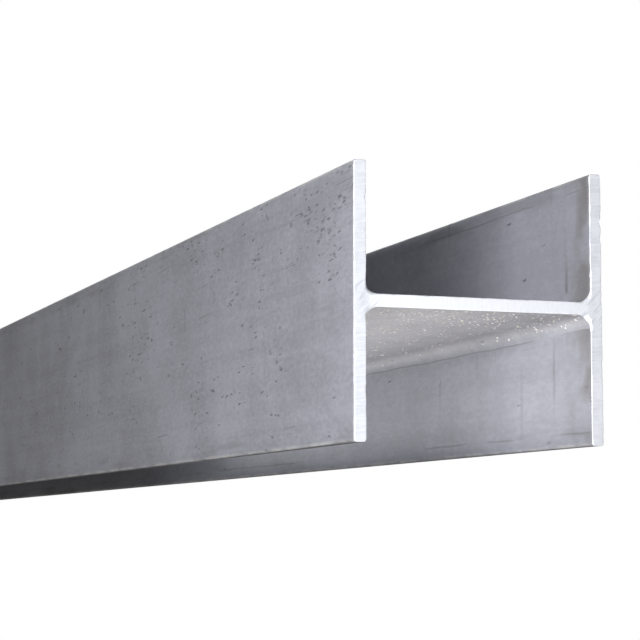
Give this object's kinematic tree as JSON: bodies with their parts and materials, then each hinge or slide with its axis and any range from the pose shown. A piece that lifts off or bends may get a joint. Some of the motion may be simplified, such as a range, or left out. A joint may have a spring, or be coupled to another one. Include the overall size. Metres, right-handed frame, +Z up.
{
  "type": "galvanized steel h-beam",
  "caption": "Hot-rolled H-section steel beam with equal web and flange thickness, filleted roots and square-cut ends, lying on its flange toes; structural stock for framing, posts and piles.",
  "frame": {"origin": "on the floor under the middle of the beam, at the centre of the rectangle that its flange toes cover", "axes": "+X along the beam's length, +Y across the section from flange to flange, +Z up along the flanges"},
  "size_m": [6, 0.2002, 0.2059],
  "materials": {
    "galvanized_steel": "dull grey zinc coat over mill-rolled steel, with bright saw-cut ends"
  },
  "bodies": {
    "root": {"h_beam": "galvanized_steel"}
  },
  "joints": []
}
